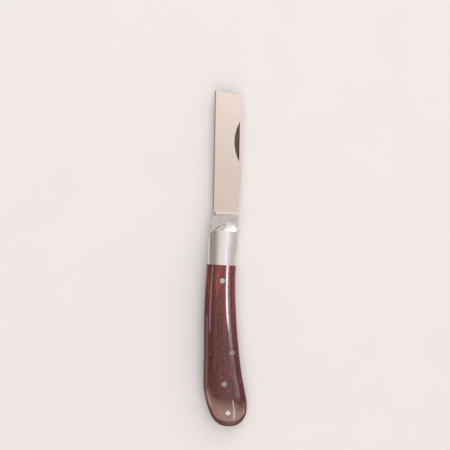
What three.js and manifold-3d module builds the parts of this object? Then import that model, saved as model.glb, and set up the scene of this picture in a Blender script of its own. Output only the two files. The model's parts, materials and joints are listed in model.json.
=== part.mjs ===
// Folding grafting knife: a square-ended, single-bevel blade that folds into a curved handle of
// wooden scales and steel bolsters on two liners, held open and shut by a backspring.
//
// Millimetres, +Z up. The knife lies open on its back scale: +Y runs towards the blade's tip,
// +X towards the knife's back (spine and backspring), and the cutting edge is on the -X side.
// Every piece is drawn with the blade's pivot on x = 0, y = 0 and the resting plane on z = 0.

import * as THREE from 'three';
import { mergeVertices } from 'three/addons/utils/BufferGeometryUtils.js';
import Module from 'manifold-3d';

const wasm = await Module();
wasm.setup();

// ---------------------------------------------------------------- driving dimensions

// Stack through the handle, from the resting plane up.
const SCALE_THICKNESS = 4.0;
const LINER_THICKNESS = 1.0;
const SLOT_WIDTH = 2.1;
const BLADE_THICKNESS = 2.0;
const SPRING_CLEARANCE = 0.02;

// Handle.
const BUTT_Y = -95.0;
const JOINT_Y = -15.8;
const JOINT_GAP = 0.05;
const JOINT_SLANT = THREE.MathUtils.degToRad(2.0);
const ROUNDING_WIDTH = 5.2;
const ROUNDING_HEIGHT = 3.4;
const BUTT_DOME_LENGTH = 15.6;
const BUTT_DOME_OVERHANG = 0.6;

// Bolster nose: flat to the crest, then sloped down to the foot.
const NOSE_CREST_Y = 0.8;
const NOSE_FOOT_Y = 4.9;
const LINER_RIM = 0.8;

// Blade.
const BLADE_TIP_Y = 69.6;
const TIP_SLANT_DROP = 1.8;
const EDGE_X = -3.92;
const SPINE_TIP_X = 9.2;
const EDGE_THICKNESS = 0.07;
const MICRO_BEVEL_WIDTH = 0.65;
const MICRO_BEVEL_THICKNESS = 0.45;
const SPINE_GRIND_X = 9.75;
const SPINE_GRIND_DEPTH = 0.3;
const GRIND_START_Y = 8.4;
const PLUNGE_RADIUS = 1.7;
const NICK_LENGTH = 19.6;
const NICK_WIDTH = 2.5;
const NICK_DEPTH = 0.7;
const NICK_X = 8.7;
const NICK_Y = 44.8;
const NICK_WALL_BEYOND = 0.1;

// Tang: a cam with three flats and rounded corners about the pivot.
const TANG_FLAT = 5.45;
const TANG_CORNER = 5.68;
const SHOULDER_Y = 1.7;
const TANG_STEP_Y = 0.5;
const TANG_FRONT_Y = -1.2;
const RICASSO_X = -4.4;
const KICK_Y = 6.7;

// Backspring.
const SPRING_NOSE_Y = 1.3;
const SPRING_NOSE_X = 5.75;
const SPRING_INNER_X = 4.75;
const SPRING_EYE_RADIUS = 2.7;
const SPRING_SEAT_RADIUS = 3.0;
const TAIL_BLOCK_Y = -71.2;

// Pins and rivets, each with the clearance of its hole.
const PIN_RADIUS = 1.35;
const PIVOT_RADIUS = 1.5;
const BOLSTER_RIVET_RADIUS = 1.0;
const HOLE_CLEARANCE = 0.05;
const PIVOT = [0, 0];
const SCALE_RIVET = [1.6, -23.5];
const SPRING_PIN = [7.0, -58.7];
const TAIL_PIN = [3.4, -74.0];
const BUTT_PIN = [5.5, -88.1];
const BOLSTER_RIVETS = { upper: [1.5, -6.6], lower: [1.4, -12.2] };

// Fineness of the curved surfaces.
const OUTLINE_STEPS = 96;
const NOSE_STEPS = 24;
const ROUNDING_STEPS = 5;
const PIN_SIDES = 28;
const WHEEL_SIDES = 48;
const OUTLINE_CURVE_STEPS = 16;
const PROFILE_CURVE_STEPS = 12;
const MERGE_DISTANCE = 1e-4;

// How far the cutting shapes reach, all of them past the knife.
const OVERSHOOT = 1;
const CUTTER_REACH = 3;
const CUTTER_WIDTH = 80;
const CUTTER_LENGTH = 260;
const WHEEL_LENGTH = 40;

// Heights that follow from the stack.
const BACK_LINER_Z = SCALE_THICKNESS;
const SLOT_Z = BACK_LINER_Z + LINER_THICKNESS;
const FRONT_LINER_Z = SLOT_Z + SLOT_WIDTH;
const FRONT_SCALE_Z = FRONT_LINER_Z + LINER_THICKNESS;
const HANDLE_THICKNESS = FRONT_SCALE_Z + SCALE_THICKNESS;
const BLADE_Z = SLOT_Z + (SLOT_WIDTH - BLADE_THICKNESS) / 2;
const BLADE_TOP_Z = BLADE_Z + BLADE_THICKNESS;

// ---------------------------------------------------------------- outlines, in the X-Y plane

// The liners' rounded nose, from the slot side to the back.
const NOSE_ARC = [[-5.6, -1.6], [-4.9, 0.6], [-3.1, 2.5], [-0.9, 3.9], [1.4, 5.0], [3.4, 5.4],
  [5.6, 5.0], [7.6, 4.1], [8.8, 2.3], [9.15, -0.5]];
// Down the back of the handle, round the butt and up its slot side.
const BACK_EDGE = [[9.1, -4.0], [8.6, -9.0], [8.15, -14.5], [7.95, -21.0], [8.0, -29.0],
  [8.5, -38.0], [9.3, -48.0], [10.4, -58.5], [11.8, -68.5], [13.6, -77.5]];
const BUTT_CURVE = [[14.7, -84.0], [14.3, -88.9], [12.1, -92.7], [8.9, -94.6], [5.4, BUTT_Y],
  [1.9, -94.2], [-1.3, -91.9], [-3.7, -87.6], [-5.5, -82.2]];
const SLOT_EDGE = [[-6.7, -76.0], [-6.9, -68.0], [-6.9, -58.0], [-7.1, -48.0], [-7.15, -40.0],
  [-6.95, -31.0], [-6.6, -23.0], [-6.3, -17.2], [-5.8, -13.6], [-5.72, -6.0]];

// The blanks of wood and of bolster run straight past each other and past the nose, so each
// is rounded only along its own sides.
const BLANK_TOP_Y = 14;
const BLANK_END_Y = -30;
const WOOD_BACK_X = 8.2;
const BOLSTER_BACK_X = 9.2;
const BOLSTER_SLOT_EDGE = [[-5.75, BLANK_TOP_Y], [-5.75, -4], [-5.75, -16], [-5.75, BLANK_END_Y]];
const NOSE_SLOT_CORNER = [-6.1, -4.6];
const NOSE_BACK_CORNER = [9.6, -3.6];

// Down the blade's spine, and the small notch where the cutting edge starts: three curves,
// each as its handle and its end.
const SPINE = [[9.5, 56], [9.7, 44], [9.5, 28], [8.75, 12], [8.6, SHOULDER_Y]];
const EDGE_NOTCH = [[[RICASSO_X, 7.5], [-3.2, 8.0]], [[-1.1, 9.0], [-3.2, 10.4]],
  [[-3.8, 10.9], [EDGE_X, 11.8]]];

// What the two parts of the spring take of the handle's outline.
const SPRING_ARM = [[20, SPRING_NOSE_Y], [SPRING_NOSE_X, SPRING_NOSE_Y], [SPRING_NOSE_X, -6.2],
  [SPRING_INNER_X, -9.5], [SPRING_INNER_X, -48], [4.35, -58.2], [9.55, -58.2], [20, -52]];
const SPRING_TAIL = [[20, -59.6], [4.6, -59.6], [4.6, TAIL_BLOCK_Y], [-12, TAIL_BLOCK_Y],
  [-12, -100], [20, -100]];

// A smooth run through the given points, as evenly spaced points.
function smoothRun(points, closed, steps) {
  const line = points.map(([x, y]) => new THREE.Vector3(x, y, 0));
  const curve = new THREE.CatmullRomCurve3(line, closed, 'centripetal');
  const spaced = curve.getSpacedPoints(steps).map((p) => [p.x, p.y]);
  return closed ? spaced.slice(0, -1) : spaced;
}

function polygon(points) {
  return new THREE.Shape(points.map(([x, y]) => new THREE.Vector2(x, y)));
}

const handleOutline = polygon(
  smoothRun([...NOSE_ARC, ...BACK_EDGE, ...BUTT_CURVE, ...SLOT_EDGE], true, OUTLINE_STEPS));

// ---------------------------------------------------------------- solids

// A closed geometry as a manifold, for cutting and joining.
function solid(geometry) {
  const bare = geometry.clone();
  bare.deleteAttribute('normal');
  bare.deleteAttribute('uv');
  const merged = mergeVertices(bare, MERGE_DISTANCE);
  return new wasm.Manifold(new wasm.Mesh({
    numProp: 3,
    vertProperties: Float32Array.from(merged.attributes.position.array),
    triVerts: Uint32Array.from(merged.index.array),
  }));
}

function upright(shape, zLow, zHigh) {
  const geometry = new THREE.ExtrudeGeometry(shape, {
    depth: zHigh - zLow, bevelEnabled: false, curveSegments: OUTLINE_CURVE_STEPS,
  });
  return solid(geometry.translate(0, 0, zLow));
}

// A shape drawn in (x, z), run along Y.
function alongY(shape, yLow, yHigh) {
  const geometry = new THREE.ExtrudeGeometry(shape, { depth: yHigh - yLow, bevelEnabled: false });
  return solid(geometry.rotateX(Math.PI / 2).translate(0, yHigh, 0));
}

// A shape drawn in (y, z), run along X across the whole knife and turned by the joint's slant.
function acrossX(shape) {
  const geometry = new THREE.ExtrudeGeometry(shape, {
    depth: CUTTER_WIDTH, bevelEnabled: false, curveSegments: PROFILE_CURVE_STEPS,
  });
  const turn = new THREE.Matrix4().makeBasis(
    new THREE.Vector3(0, 1, 0), new THREE.Vector3(0, 0, 1), new THREE.Vector3(1, 0, 0));
  geometry.applyMatrix4(turn).translate(-CUTTER_WIDTH / 2, -JOINT_Y, 0);
  return solid(geometry.rotateZ(-JOINT_SLANT).translate(0, JOINT_Y, 0));
}

// The handle's full thickness with elliptically rounded edges on both faces.
function roundedBlank(shape) {
  const geometry = new THREE.ExtrudeGeometry(shape, {
    depth: HANDLE_THICKNESS - 2 * ROUNDING_HEIGHT,
    bevelThickness: ROUNDING_HEIGHT,
    bevelSize: ROUNDING_WIDTH,
    bevelOffset: -ROUNDING_WIDTH,
    bevelSegments: ROUNDING_STEPS,
    curveSegments: OUTLINE_CURVE_STEPS,
  });
  return solid(geometry.translate(0, 0, ROUNDING_HEIGHT));
}

function slab(zLow, zHigh) {
  const geometry = new THREE.BoxGeometry(CUTTER_WIDTH, CUTTER_LENGTH, zHigh - zLow);
  return solid(geometry.translate(0, 0, (zLow + zHigh) / 2));
}

function rod([x, y], radius, zLow = -OVERSHOOT, zHigh = HANDLE_THICKNESS + OVERSHOOT) {
  const geometry = new THREE.CylinderGeometry(radius, radius, zHigh - zLow, PIN_SIDES);
  return solid(geometry.rotateX(Math.PI / 2).translate(x, y, (zLow + zHigh) / 2));
}

function drilled(body, holes) {
  return holes.reduce((cut, [place, radius]) => cut.subtract(rod(place, radius + HOLE_CLEARANCE)),
    body);
}

// ---------------------------------------------------------------- handle

// Side view of the wood: level along the handle, then a long elliptical dome at the butt.
function woodProfile() {
  const shape = new THREE.Shape();
  const start = JOINT_Y - JOINT_GAP;
  const domeY = BUTT_Y - BUTT_DOME_OVERHANG + BUTT_DOME_LENGTH;
  const half = HANDLE_THICKNESS / 2;
  shape.moveTo(start, 0);
  shape.lineTo(start, HANDLE_THICKNESS);
  shape.lineTo(domeY, HANDLE_THICKNESS);
  shape.absellipse(domeY, half, BUTT_DOME_LENGTH, half, Math.PI / 2, 1.5 * Math.PI, false);
  return shape;
}

// Side view of the bolsters: level from the joint to the crest, then sloped to the nose.
function bolsterProfile() {
  return polygon([[JOINT_Y, 0], [NOSE_CREST_Y, 0], [NOSE_FOOT_Y, ROUNDING_HEIGHT],
    [NOSE_FOOT_Y, HANDLE_THICKNESS - ROUNDING_HEIGHT], [NOSE_CREST_Y, HANDLE_THICKNESS],
    [JOINT_Y, HANDLE_THICKNESS]]);
}

function woodSides() {
  const sides = smoothRun([...BACK_EDGE.slice(2), ...BUTT_CURVE, ...SLOT_EDGE.slice(0, -2)], false,
    OUTLINE_STEPS);
  return polygon([[SLOT_EDGE.at(-3)[0], BLANK_TOP_Y], [WOOD_BACK_X, BLANK_TOP_Y], ...sides]);
}

function bolsterSides() {
  const backX = BACK_EDGE[4][0];
  return polygon([...BOLSTER_SLOT_EDGE, [backX, BLANK_END_Y],
    ...BACK_EDGE.slice(0, 4).reverse(), [BOLSTER_BACK_X, BLANK_TOP_Y]]);
}

// The nose of the bolsters stands back from the liners' nose by the bright rim.
function bolsterNose() {
  const rim = NOSE_ARC.map(([x, y]) => [x, y - LINER_RIM]);
  const arc = smoothRun([NOSE_SLOT_CORNER, ...rim, NOSE_BACK_CORNER], false, NOSE_STEPS);
  return polygon([[NOSE_SLOT_CORNER[0], BLANK_END_Y], ...arc,
    [NOSE_BACK_CORNER[0], BLANK_END_Y]]);
}

const woodBlank = roundedBlank(woodSides()).intersect(acrossX(woodProfile()));
const bolsterBlank = roundedBlank(bolsterSides())
  .intersect(upright(bolsterNose(), -OVERSHOOT, HANDLE_THICKNESS + OVERSHOOT))
  .intersect(acrossX(bolsterProfile()));

const scaleHoles = [[SCALE_RIVET, PIN_RADIUS], [SPRING_PIN, PIN_RADIUS], [TAIL_PIN, PIN_RADIUS],
  [BUTT_PIN, PIN_RADIUS]];
const bolsterHoles = [[PIVOT, PIVOT_RADIUS], [BOLSTER_RIVETS.upper, BOLSTER_RIVET_RADIUS],
  [BOLSTER_RIVETS.lower, BOLSTER_RIVET_RADIUS]];

const backSide = slab(0, BACK_LINER_Z);
const frontSide = slab(FRONT_SCALE_Z, HANDLE_THICKNESS);

function liner(zLow) {
  const plate = upright(handleOutline, zLow, zLow + LINER_THICKNESS);
  return drilled(plate, [...scaleHoles, ...bolsterHoles]);
}

// ---------------------------------------------------------------- blade

// The tang's flats and corners, from the back of the shoulder round to the slot side.
function tangOutline(shape) {
  const cornerAngle = Math.acos(TANG_FLAT / TANG_CORNER);
  shape.lineTo(TANG_FLAT, SHOULDER_Y);
  shape.absarc(0, 0, TANG_CORNER, -cornerAngle, cornerAngle - Math.PI / 2, true);
  shape.absarc(0, 0, TANG_CORNER, -cornerAngle - Math.PI / 2, cornerAngle - Math.PI, true);
  shape.lineTo(-TANG_FLAT, TANG_FRONT_Y);
  shape.lineTo(RICASSO_X, TANG_STEP_Y);
}

function bladeOutline() {
  const shape = new THREE.Shape();
  shape.moveTo(EDGE_X, BLADE_TIP_Y);
  shape.lineTo(SPINE_TIP_X, BLADE_TIP_Y - TIP_SLANT_DROP);
  shape.splineThru(SPINE.map(([x, y]) => new THREE.Vector2(x, y)));
  tangOutline(shape);
  shape.lineTo(RICASSO_X, KICK_Y);
  for (const [handle, end] of EDGE_NOTCH) {
    shape.quadraticCurveTo(...handle, ...end);
  }
  return shape;
}

// Thickness of the ground blade at x, and how it grows from the micro bevel to the spine.
const GRIND_FOOT_X = EDGE_X + MICRO_BEVEL_WIDTH;
const GRIND_SLOPE = (BLADE_THICKNESS - SPINE_GRIND_DEPTH - MICRO_BEVEL_THICKNESS)
  / (SPINE_GRIND_X - GRIND_FOOT_X);

function groundZ(x) {
  return BLADE_Z + MICRO_BEVEL_THICKNESS + GRIND_SLOPE * (x - GRIND_FOOT_X);
}

// Everything above the ground face and the micro bevel, with the round plunge the wheel leaves.
function grindCutter() {
  const bevelSlope = (MICRO_BEVEL_THICKNESS - EDGE_THICKNESS) / MICRO_BEVEL_WIDTH;
  const left = GRIND_FOOT_X - CUTTER_REACH;
  const right = SPINE_GRIND_X + CUTTER_REACH;
  const top = BLADE_TOP_Z + CUTTER_REACH;
  const section = polygon([[left, groundZ(GRIND_FOOT_X) - CUTTER_REACH * bevelSlope],
    [GRIND_FOOT_X, groundZ(GRIND_FOOT_X)], [right, groundZ(right)], [right, top], [left, top]]);
  const wheelY = GRIND_START_Y + PLUNGE_RADIUS;
  const wheel = new THREE.CylinderGeometry(PLUNGE_RADIUS, PLUNGE_RADIUS, WHEEL_LENGTH,
    WHEEL_SIDES);
  wheel.rotateZ(Math.PI / 2).rotateY(-Math.atan(GRIND_SLOPE));
  wheel.translate(0, wheelY, groundZ(0) + PLUNGE_RADIUS);
  return alongY(section, wheelY, BLADE_TIP_Y + CUTTER_REACH).add(solid(wheel));
}

// The nail nick: straight and deep beside the spine, running out to an arc towards the edge.
function nickCutter() {
  const half = NICK_LENGTH / 2;
  const radius = (half * half + NICK_WIDTH * NICK_WIDTH) / (2 * NICK_WIDTH);
  const sweep = Math.asin(half / radius);
  const shape = new THREE.Shape();
  const runOutX = NICK_X - NICK_WIDTH;
  shape.absarc(runOutX + radius, NICK_Y, radius, Math.PI - sweep, Math.PI + sweep, false);
  const wallX = NICK_X + NICK_WALL_BEYOND;
  const top = BLADE_TOP_Z + OVERSHOOT;
  const floor = polygon([[runOutX, groundZ(runOutX)], [wallX, groundZ(wallX) - NICK_DEPTH],
    [wallX, top], [runOutX, top]]);
  return upright(shape, BLADE_Z, top).intersect(alongY(floor, NICK_Y - half, NICK_Y + half));
}

function blade() {
  const blank = upright(bladeOutline(), BLADE_Z, BLADE_TOP_Z);
  const ground = blank.subtract(grindCutter()).subtract(nickCutter());
  return ground.subtract(rod(PIVOT, PIVOT_RADIUS + HOLE_CLEARANCE));
}

// ---------------------------------------------------------------- backspring

// The free arm bears on the tang and flexes about the middle pin.
function springArm() {
  const zLow = SLOT_Z + SPRING_CLEARANCE;
  const zHigh = FRONT_LINER_Z - SPRING_CLEARANCE;
  const region = upright(polygon(SPRING_ARM), zLow, zHigh);
  const strip = upright(handleOutline, zLow, zHigh).intersect(region);
  const eye = rod(SPRING_PIN, SPRING_EYE_RADIUS, zLow, zHigh);
  return drilled(strip.add(eye), [[SPRING_PIN, PIN_RADIUS]]);
}

// The fixed tail fills the butt between the liners, and two pins hold it.
function springTail() {
  const region = upright(polygon(SPRING_TAIL), SLOT_Z, FRONT_LINER_Z);
  const block = upright(handleOutline, SLOT_Z, FRONT_LINER_Z).intersect(region);
  const seat = rod(SPRING_PIN, SPRING_SEAT_RADIUS);
  return drilled(block.subtract(seat), [[TAIL_PIN, PIN_RADIUS], [BUTT_PIN, PIN_RADIUS]]);
}

// ---------------------------------------------------------------- materials

function metal(color, roughness) {
  return new THREE.MeshStandardMaterial({ color, metalness: 1.0, roughness });
}

const bladeSteel = metal(0xcdc3ba, 0.32);
const springSteel = metal(0xa9a39d, 0.4);
const linerSteel = metal(0xc6bfb7, 0.35);
const bolsterSteel = metal(0xb8b0aa, 0.3);
const pinSteel = metal(0xc9c5c1, 0.3);
const redWood = new THREE.MeshStandardMaterial({ color: 0x5b241d, metalness: 0.0, roughness: 0.28 });

// ---------------------------------------------------------------- assembly

const knife = new THREE.Group();

function place(name, body, material) {
  const { vertProperties, triVerts } = body.getMesh();
  const geometry = new THREE.BufferGeometry();
  geometry.setAttribute('position', new THREE.BufferAttribute(Float32Array.from(vertProperties), 3));
  geometry.setIndex(new THREE.BufferAttribute(Uint32Array.from(triVerts), 1));
  geometry.computeVertexNormals();
  const mesh = new THREE.Mesh(geometry, material);
  mesh.name = name;
  knife.add(mesh);
}

place('blade', blade(), bladeSteel);
place('backspring_arm', springArm(), springSteel);
place('backspring_tail', springTail(), springSteel);
place('liner_front', liner(FRONT_LINER_Z), linerSteel);
place('liner_back', liner(BACK_LINER_Z), linerSteel);
place('bolster_front', drilled(bolsterBlank.intersect(frontSide), bolsterHoles), bolsterSteel);
place('bolster_back', drilled(bolsterBlank.intersect(backSide), bolsterHoles), bolsterSteel);
place('scale_front', drilled(woodBlank.intersect(frontSide), scaleHoles), redWood);
place('scale_back', drilled(woodBlank.intersect(backSide), scaleHoles), redWood);

// Through pins, their ends finished to the handle's surface.
place('pivot_pin', rod(PIVOT, PIVOT_RADIUS).intersect(bolsterBlank), pinSteel);
place('spring_pin', rod(SPRING_PIN, PIN_RADIUS).intersect(woodBlank), pinSteel);
place('tail_pin', rod(TAIL_PIN, PIN_RADIUS).intersect(woodBlank), pinSteel);
place('butt_pin', rod(BUTT_PIN, PIN_RADIUS).intersect(woodBlank), pinSteel);

// Short rivets that hold each scale and each bolster to its own liner.
const sides = {
  front: [FRONT_LINER_Z, HANDLE_THICKNESS + OVERSHOOT],
  back: [-OVERSHOOT, SLOT_Z],
};
for (const [side, [zLow, zHigh]] of Object.entries(sides)) {
  const scaleRivet = rod(SCALE_RIVET, PIN_RADIUS, zLow, zHigh).intersect(woodBlank);
  place(`scale_rivet_${side}`, scaleRivet, pinSteel);
  for (const [end, spot] of Object.entries(BOLSTER_RIVETS)) {
    const rivet = rod(spot, BOLSTER_RIVET_RADIUS, zLow, zHigh).intersect(bolsterBlank);
    place(`bolster_rivet_${side}_${end}`, rivet, bolsterSteel);
  }
}

// The finished knife stands with the middle of its footprint at the origin.
const extent = new THREE.Box3().setFromObject(knife);
const middle = extent.getCenter(new THREE.Vector3());
knife.position.set(-middle.x, -middle.y, -extent.min.z);

const group = new THREE.Group();
group.add(knife);

export default group;
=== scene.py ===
"""Folding grafting knife, lying open on a pale table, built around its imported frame.

Run as a script. Every piece is modelled in millimetres about the blade's pivot, x towards the
knife's back, y towards the blade's tip and z up from the table, and is then put into the frame.
"""

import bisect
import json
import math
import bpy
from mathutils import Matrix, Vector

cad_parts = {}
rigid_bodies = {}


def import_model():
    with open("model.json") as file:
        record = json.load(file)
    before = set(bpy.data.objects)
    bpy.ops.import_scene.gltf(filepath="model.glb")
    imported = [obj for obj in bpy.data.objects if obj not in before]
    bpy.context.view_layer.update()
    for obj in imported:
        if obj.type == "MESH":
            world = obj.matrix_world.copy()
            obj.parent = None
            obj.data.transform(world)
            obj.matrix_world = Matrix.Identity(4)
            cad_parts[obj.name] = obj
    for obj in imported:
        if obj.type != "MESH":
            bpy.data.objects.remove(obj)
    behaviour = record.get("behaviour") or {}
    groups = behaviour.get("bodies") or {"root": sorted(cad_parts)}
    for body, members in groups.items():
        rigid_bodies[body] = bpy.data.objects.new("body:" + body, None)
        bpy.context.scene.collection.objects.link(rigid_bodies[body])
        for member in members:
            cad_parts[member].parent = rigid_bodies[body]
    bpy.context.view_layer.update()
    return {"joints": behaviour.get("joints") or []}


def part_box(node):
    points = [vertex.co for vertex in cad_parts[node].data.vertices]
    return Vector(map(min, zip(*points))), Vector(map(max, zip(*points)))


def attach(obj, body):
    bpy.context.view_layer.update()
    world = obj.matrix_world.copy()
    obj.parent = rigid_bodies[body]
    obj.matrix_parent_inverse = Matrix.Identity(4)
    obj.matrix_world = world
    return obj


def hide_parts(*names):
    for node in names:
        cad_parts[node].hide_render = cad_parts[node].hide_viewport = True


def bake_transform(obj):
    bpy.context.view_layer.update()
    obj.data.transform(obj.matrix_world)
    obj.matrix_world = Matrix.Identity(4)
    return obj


bl_info = {
    "name": "Grafting Knife",
    "version": (1, 0, 0),
    "blender": (4, 5, 0),
    "location": "3D View > Sidebar > Grafting Knife",
    "description": "Builds a folding grafting knife piece by piece around its packed frame",
    "category": "Add Mesh",
}

import bmesh
import bpy
from mathutils import Matrix, Vector

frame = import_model()

# ---------------------------------------------------------------- places taken from the frame

MM = 0.001
JOINTS = {joint["name"]: joint for joint in frame["joints"]}
PIVOT = Vector(JOINTS["blade_pivot"]["pos_m"])
TO_FRAME = Matrix.Translation((PIVOT.x, PIVOT.y, 0.0)) @ Matrix.Scale(MM, 4)


def spot(node):
    """A pin's place and radius, in millimetres about the pivot."""
    low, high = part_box(node)
    middle = (low + high) / 2 - PIVOT
    return middle.x / MM, middle.y / MM, (high.x - low.x) / 2 / MM


def layer(node):
    """A plate's lower and upper height, in millimetres above the table."""
    low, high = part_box(node)
    return low.z / MM, high.z / MM


BACK_LINER = layer("liner_back")
FRONT_LINER = layer("liner_front")
BLADE_LAYER = layer("blade")
SCALE_THICKNESS = layer("scale_front")[1] - layer("scale_front")[0]
PIVOT_PIN = spot("pivot_pin")
SPRING_PIN = spot("spring_pin")
TAIL_PIN = spot("tail_pin")
BUTT_PIN = spot("butt_pin")
SCALE_RIVET = spot("scale_rivet_front")
BOLSTER_RIVETS = {end: spot(f"bolster_rivet_front_{end}") for end in ("upper", "lower")}

# ---------------------------------------------------------------- the knife's outline

# The liners' rounded nose, then down the back, round the butt and up the slot side.
NOSE_ARC = [(-5.6, -1.6), (-4.9, 0.6), (-3.1, 2.5), (-0.9, 3.9), (1.4, 5.0), (3.4, 5.4),
            (5.6, 5.0), (7.6, 4.1), (8.8, 2.3), (9.15, -0.5)]
BACK_EDGE = [(9.1, -4.0), (8.6, -9.0), (8.15, -14.5), (7.95, -21.0), (8.0, -29.0),
             (8.5, -38.0), (9.3, -48.0), (10.4, -58.5), (11.8, -68.5), (13.6, -77.5)]
BUTT_CURVE = [(14.7, -84.0), (14.3, -88.9), (12.1, -92.7), (8.9, -94.6), (5.4, -95.0),
              (1.9, -94.2), (-1.3, -91.9), (-3.7, -87.6), (-5.5, -82.2)]
SLOT_EDGE = [(-6.7, -76.0), (-6.9, -68.0), (-6.9, -58.0), (-7.1, -48.0), (-7.15, -40.0),
             (-6.95, -31.0), (-6.6, -23.0), (-6.3, -17.2), (-5.8, -13.6), (-5.72, -6.0)]
JOINT_Y = -15.8
JOINT_SLANT = math.radians(2.0)
BOLSTER_FRONT_X = -5.75
LINER_RIM = 0.8
CREST_Y = 0.8
CREST_SET_BACK = 0.4
JOINT_GAP = 0.05
# Where the sides of the wood and the bolsters run on past each other and past the nose.
BACK_START = (9.2, 14.0)
SLOT_END = (-6.2, -10.0)
NOSE_SLOT_CORNER = (-6.1, -4.6)
NOSE_BACK_CORNER = (9.6, -3.6)
OUTLINE_STEPS = 420
SIDE_STEPS = 900
NOSE_STEPS = 300
STEPS_PER_SPAN = 40


def smooth_run(points, closed, steps):
    """Evenly spaced points on a centripetal Catmull-Rom curve through the given points."""
    knots = [Vector(p) for p in points]
    if closed:
        knots = [knots[-1], *knots, knots[0], knots[1]]
    else:
        knots = [2 * knots[0] - knots[1], *knots, 2 * knots[-1] - knots[-2]]
    fine = []
    for before, start, end, after in zip(knots, knots[1:], knots[2:], knots[3:]):
        gaps = [math.sqrt((b - a).length) for a, b in
                ((before, start), (start, end), (end, after))]
        leave = (start - before) / gaps[0] - (end - before) / (gaps[0] + gaps[1])
        leave = (leave + (end - start) / gaps[1]) * gaps[1]
        arrive = (end - start) / gaps[1] - (after - start) / (gaps[1] + gaps[2])
        arrive = (arrive + (after - end) / gaps[2]) * gaps[1]
        for step in range(STEPS_PER_SPAN):
            t = step / STEPS_PER_SPAN
            fine.append((2 * t**3 - 3 * t**2 + 1) * start + (t**3 - 2 * t**2 + t) * leave
                        + (3 * t**2 - 2 * t**3) * end + (t**3 - t**2) * arrive)
    fine.append(knots[-2])
    return spaced(fine, steps, closed)


def spaced(line, steps, closed):
    """The same line as steps equal parts."""
    reach = [0.0]
    for a, b in zip(line, line[1:]):
        reach.append(reach[-1] + (b - a).length)
    points, i = [], 0
    for step in range(steps if closed else steps + 1):
        goal = reach[-1] * step / steps
        while i < len(line) - 2 and reach[i + 1] < goal:
            i += 1
        share = (goal - reach[i]) / max(reach[i + 1] - reach[i], 1e-9)
        points.append(line[i].lerp(line[i + 1], min(1.0, share)))
    return points


def cross(run, value, axis):
    """Where a run of points that rises along an axis (0 x, 1 y) crosses a value of it."""
    i = bisect.bisect_left(run, value, key=lambda p: p[axis])
    if i in (0, len(run)):
        return run[min(i, len(run) - 1)][1 - axis]
    a, b = run[i - 1], run[i]
    share = (value - a[axis]) / (b[axis] - a[axis])
    return a[1 - axis] + (b[1 - axis] - a[1 - axis]) * share


def x_at(run, y):
    """The x of a side of the handle at the given y."""
    return cross(run, y, 1)


HANDLE_OUTLINE = smooth_run(NOSE_ARC + BACK_EDGE + BUTT_CURVE + SLOT_EDGE, True, OUTLINE_STEPS)
# The butt's lowest point, the fifth of its curve, parts the handle's back from its slot side.
LOWEST = 4
BUTT_Y = BUTT_CURVE[LOWEST][1]
BACK_RUN = smooth_run([BACK_START] + BACK_EDGE + BUTT_CURVE[:LOWEST + 1], False, SIDE_STEPS)[::-1]
SLOT_RUN = smooth_run(BUTT_CURVE[LOWEST:] + SLOT_EDGE[:-2] + [SLOT_END], False, SIDE_STEPS)
BOLSTER_NOSE = [(x, y - LINER_RIM) for x, y in NOSE_ARC]
NOSE_RUN = smooth_run([NOSE_SLOT_CORNER] + BOLSTER_NOSE + [NOSE_BACK_CORNER], False, NOSE_STEPS)

# ---------------------------------------------------------------- settings


class HandleSettings(bpy.types.PropertyGroup):
    """The handle's rounding and finish."""

    wall: bpy.props.FloatProperty(
        name="Edge wall", description="Upright edge of a scale or bolster beside its liner",
        default=0.0005, min=0.0, unit="LENGTH")
    crown_power: bpy.props.FloatProperty(
        name="Crown fullness", description="2 is an ellipse across the handle; more is fuller",
        default=2.35, min=1.5, max=6.0)
    dome_start: bpy.props.FloatProperty(
        name="Dome length", description="Length of the butt that slopes down to its end",
        default=0.015, min=0.002, unit="LENGTH")
    edge_round: bpy.props.FloatProperty(
        name="Edge rounding", description="Width of the softened edges",
        default=0.00009, min=0.0, unit="LENGTH")
    wood_light: bpy.props.FloatVectorProperty(
        name="Light wood", description="Colour of the wood's light bands",
        subtype="COLOR", size=3, min=0.0, max=1.0, default=(0.138, 0.029, 0.0225))
    wood_dark: bpy.props.FloatVectorProperty(
        name="Dark wood", description="Colour of the wood's dark bands",
        subtype="COLOR", size=3, min=0.0, max=1.0, default=(0.026, 0.0046, 0.0058))
    bolster_colour: bpy.props.FloatVectorProperty(
        name="Bolster steel", description="Colour of the bolsters",
        subtype="COLOR", size=3, min=0.0, max=1.0, default=(0.87, 0.84, 0.82))
    liner_colour: bpy.props.FloatVectorProperty(
        name="Liner steel", description="Colour of the liners",
        subtype="COLOR", size=3, min=0.0, max=1.0, default=(0.70, 0.67, 0.64))
    pin_colour: bpy.props.FloatVectorProperty(
        name="Pin steel", description="Colour of the pins and rivets",
        subtype="COLOR", size=3, min=0.0, max=1.0, default=(0.38, 0.36, 0.35))


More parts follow.
